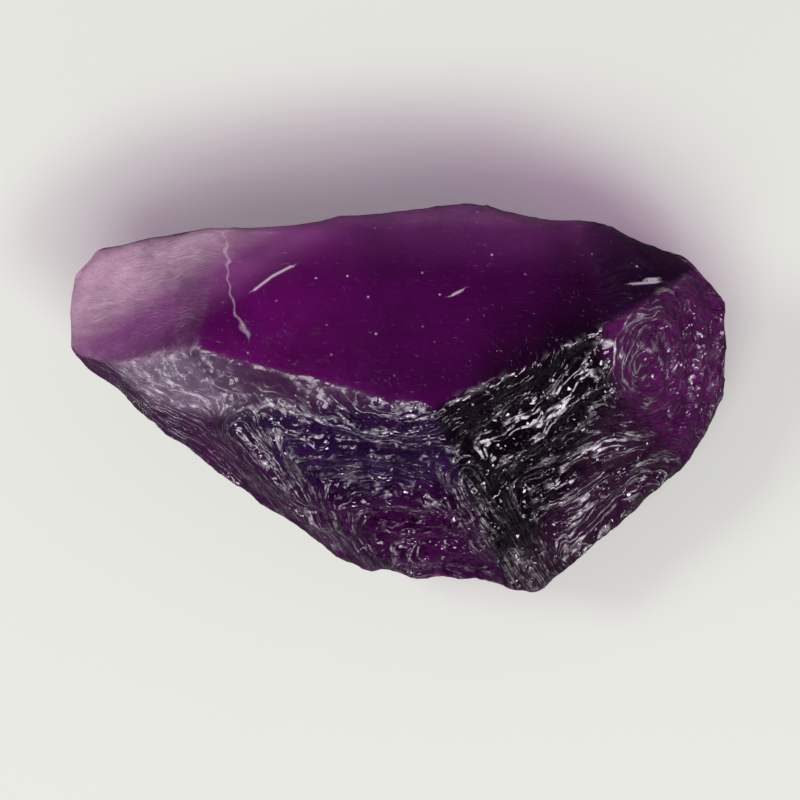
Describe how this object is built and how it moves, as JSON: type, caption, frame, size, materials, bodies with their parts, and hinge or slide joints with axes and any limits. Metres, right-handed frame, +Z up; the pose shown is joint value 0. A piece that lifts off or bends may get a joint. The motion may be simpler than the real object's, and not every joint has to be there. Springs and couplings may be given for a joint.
{
  "type": "rough fluorite octahedron",
  "caption": "Rough purple fluorite stone broken along octahedral cleavage, with a smooth sloping top, stepped and ribbed broken sides and a flat base.",
  "frame": {"origin": "centre of the stone's box, on the surface that it rests on", "axes": "+X along the stone from its thin end to its blunt end, +Y from its ribbed front to its back, +Z up out of its flat base"},
  "size_m": [0.0516, 0.0306, 0.0226],
  "materials": {
    "purple_fluorite": "glossy on the smooth breaks, frosted and sparkling on the rough ones"
  },
  "bodies": {
    "root": {"fluorite_octahedron": "purple_fluorite"}
  },
  "joints": []
}
